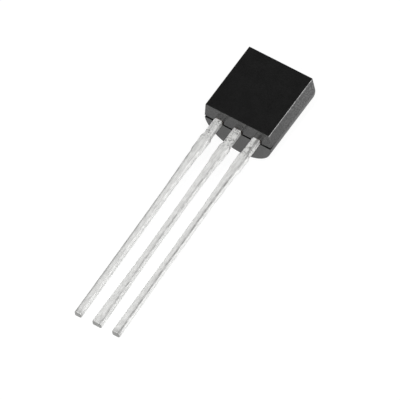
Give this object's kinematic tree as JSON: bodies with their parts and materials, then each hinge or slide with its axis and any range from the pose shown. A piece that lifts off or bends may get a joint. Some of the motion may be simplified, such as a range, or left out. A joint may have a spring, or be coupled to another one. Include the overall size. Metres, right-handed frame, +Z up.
{
  "type": "three-lead moulded temperature sensor",
  "caption": "Small moulded sensor body with a flat sensing face, a round back and straight parallel leads that solder into a board.",
  "frame": {"origin": "middle of the box on the surface that the sensor lies on", "axes": "+Z up, away from the surface and out of the flat face; +Y from the lead tips to the body; +X to the right, seen on the flat face with the leads towards the viewer"},
  "size_m": [0.0044, 0.0194, 0.0038],
  "materials": {
    "moulding": "black moulding compound, satin flat face and fine matte sides",
    "tinned_lead": "copper alloy sheet with matte tin plating",
    "silver_glue": "silver-filled glue",
    "silicon": "polished silicon",
    "gold_wire": "drawn gold wire"
  },
  "bodies": {
    "root": {"mould_body": "moulding", "lead_left": "tinned_lead", "lead_middle": "tinned_lead", "lead_right": "tinned_lead", "die_attach": "silver_glue", "sensor_die": "silicon", "bond_wire_left": "gold_wire", "bond_wire_middle": "gold_wire", "bond_wire_right": "gold_wire"}
  },
  "joints": []
}
